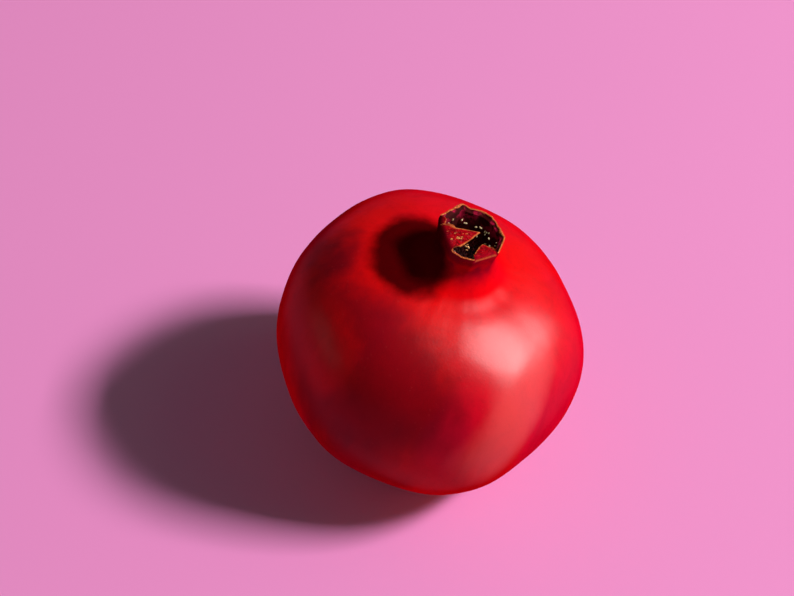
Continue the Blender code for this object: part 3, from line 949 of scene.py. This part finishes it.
def finishStamens(pieces):
    thread = Finish("stamenThread")
    at = thread.node("ShaderNodeTexCoord", output=3)
    pale = thread.attribute("pale")
    grain = thread.mottle(at, 0.00035, 3, 0.6)
    dark = thread.mix(thread.step(grain, 0.40, 0.65), *stamenColours["dark"])
    cream = thread.mix(thread.step(grain, 0.38, 0.62), *stamenColours["cream"])
    tan = thread.mix(thread.step(grain, 0.38, 0.62), *stamenColours["tan"])
    base = thread.mix(thread.step(pale, 0.15, 0.8), dark, cream)
    base = thread.mix(thread.step(pale, 1.0, 1.7), base, tan)
    thread.surface({
        "Base Color": base,
        "Roughness": 0.85,
        "Specular IOR Level": 0.03,
        "Normal": thread.bump(grain, 0.00005, 0.8),
    })
    thread.put(*pieces)


woodColours = {"fibre": (0.33, 0.21, 0.12), "fibreDark": (0.10, 0.052, 0.026), "stain": (0.055, 0.026, 0.014)}


def finishStemStub(piece):
    wood = Finish("stemWood")
    at = wood.node("ShaderNodeTexCoord", output=3)
    fibre = wood.mottle(wood.scaled(at, (1, 1, 0.15)), 0.0005, 4, 0.6)
    blotch = wood.mottle(at, 0.0018, 3, 0.6)
    base = wood.mix(wood.step(fibre, 0.35, 0.65), woodColours["fibreDark"], woodColours["fibre"])
    base = wood.mix(wood.step(blotch, 0.45, 0.65) * 0.6, base, woodColours["stain"])
    wood.surface({"Base Color": base, "Roughness": 0.85, "Normal": wood.bump(fibre + blotch, 0.0002, 0.8)})
    wood.put(piece)


# Table, light and camera
stage = {
    "floorColour": (0.83, 0.258, 0.565),
    "floorSize": 3.0,
    "world": (0.080, 0.108, 0.086),
    "key": {"azimuth": -3.5, "elevation": 42.5, "distance": 3.4, "size": (0.78, 0.46), "power": 148},
    "crown": {
        "tilt": 10, "forward": 0.15, "distance": 0.9, "cone": 1.35, "edge": 0.6, "radius": 0.02, "power": 24,
    },
    "fill": {"azimuth": 186, "elevation": 9, "distance": 1.2, "size": (0.7, 0.36), "power": 1.3},
    "sheen": {"azimuth": 0.5, "elevation": 39, "distance": 0.8, "size": (0.44, 0.60), "power": 76},
}

view = {
    "width": 794,
    "height": 596,
    "lens": 85,
    "sensor": 36,
    "distance": 0.5571,  # from the eye to the fruit's middle
    "elevation": math.radians(50),
    "fruitAcross": 426,  # where the photograph shows the fruit's middle, in pixels from its top left corner
    "fruitDown": 342.7,
}


def makeFloor():
    form = bmesh.new()
    bmesh.ops.create_grid(form, x_segments=8, y_segments=8, size=stage["floorSize"] / 2)
    mesh = bpy.data.meshes.new("floor")
    form.to_mesh(mesh)
    form.free()
    floor = bpy.data.objects.new("floor", mesh)
    bpy.context.scene.collection.objects.link(floor)
    paint = Finish("floorPaint")
    at = paint.node("ShaderNodeTexCoord", output=3)
    cloud = paint.mottle(at, 0.15, 2)
    colour = stage["floorColour"]
    base = paint.mix(cloud * 0.25, colour, tuple(side * 0.94 for side in colour))
    paint.surface({"Base Color": base, "Roughness": 0.9, "Specular IOR Level": 0.1})
    paint.put(floor)


def fromFruit(azimuth, elevation, distance):
    level, height = math.cos(elevation) * distance, math.sin(elevation) * distance
    return bodyCentre + Vector((level * math.cos(azimuth), level * math.sin(azimuth), height))


def addLamp(name, azimuth, elevation, distance, size, power):
    lamp = bpy.data.lights.new(name, "AREA")
    lamp.energy = power
    lamp.shape = "RECTANGLE"
    lamp.size, lamp.size_y = size
    holder = bpy.data.objects.new(name, lamp)
    bpy.context.scene.collection.objects.link(holder)
    holder.location = fromFruit(math.radians(azimuth), math.radians(elevation), distance)
    holder.rotation_euler = (holder.location - bodyCentre).to_track_quat("Z", "Y").to_euler()
    return holder


def lightScene():
    world = bpy.data.worlds.new("room")
    bpy.context.scene.world = world
    world.use_nodes = True
    world.node_tree.nodes["Background"].inputs["Color"].default_value = (*stage["world"], 1)
    addLamp("keyLight", **stage["key"]).visible_glossy = False
    addLamp("sheenLight", **stage["sheen"]).visible_diffuse = False  # a soft box that only shows as gloss
    addLamp("fillLight", **stage["fill"])
    crownLight()


def crownLight():  # a narrow spot down into the cup
    spot = stage["crown"]
    lamp = bpy.data.lights.new("crownLight", "SPOT")
    lamp.energy = spot["power"]
    lamp.spot_size = math.radians(spot["cone"])
    lamp.spot_blend = spot["edge"]
    lamp.shadow_soft_size = spot["radius"]
    holder = bpy.data.objects.new("crownLight", lamp)
    holder.visible_glossy = False
    bpy.context.scene.collection.objects.link(holder)
    rim = place @ Vector((crown["rimDrift"], 0, crown["rimHeight"]))
    aside = math.radians(spot["tilt"])
    towards = place.to_3x3() @ Vector((-math.sin(aside), -spot["forward"], math.cos(aside)))
    holder.location = rim + towards.normalized() * spot["distance"]
    holder.rotation_euler = towards.to_track_quat("Z", "Y").to_euler()


def aimCamera():
    focal = view["width"] * view["lens"] / view["sensor"]
    across = (view["fruitAcross"] - view["width"] / 2) / focal
    up = (view["height"] / 2 - view["fruitDown"]) / focal
    drop = math.sin(view["elevation"])
    pitch = math.acos(drop * math.sqrt(1 + across**2 + up**2) / math.hypot(1, up)) - math.atan(up)
    heading = math.atan2(across, up * math.cos(pitch) + math.sin(pitch))
    lens = bpy.data.cameras.new("camera")
    lens.lens, lens.sensor_width = view["lens"], view["sensor"]
    camera = bpy.data.objects.new("camera", lens)
    bpy.context.scene.collection.objects.link(camera)
    camera.location = fromFruit(-math.pi / 2, view["elevation"], view["distance"])
    camera.rotation_euler = (pitch, 0, heading)
    bpy.context.scene.camera = camera
    bpy.context.scene.view_settings.view_transform = "Standard"


rindPiece = makeRind()
finishRind(rindPiece)
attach(rindPiece, "root")
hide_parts("fruit")
print("rind, crown and sepals done,", len(rindPiece.data.polygons), "faces")

stamenPiece = makeStamens()
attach(stamenPiece, "root")
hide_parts("stamens")
fallenPiece = makeFallenAnthers()
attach(fallenPiece, "root")
finishStamens([stamenPiece, fallenPiece])
print("stamens done,", len(stamenPiece.data.polygons), "faces")

stubPiece = makeStemStub()
finishStemStub(stubPiece)
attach(stubPiece, "root")
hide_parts("stem_stub")
print("stem stub done")

makeFloor()
lightScene()
aimCamera()
print("table, lights and camera done")
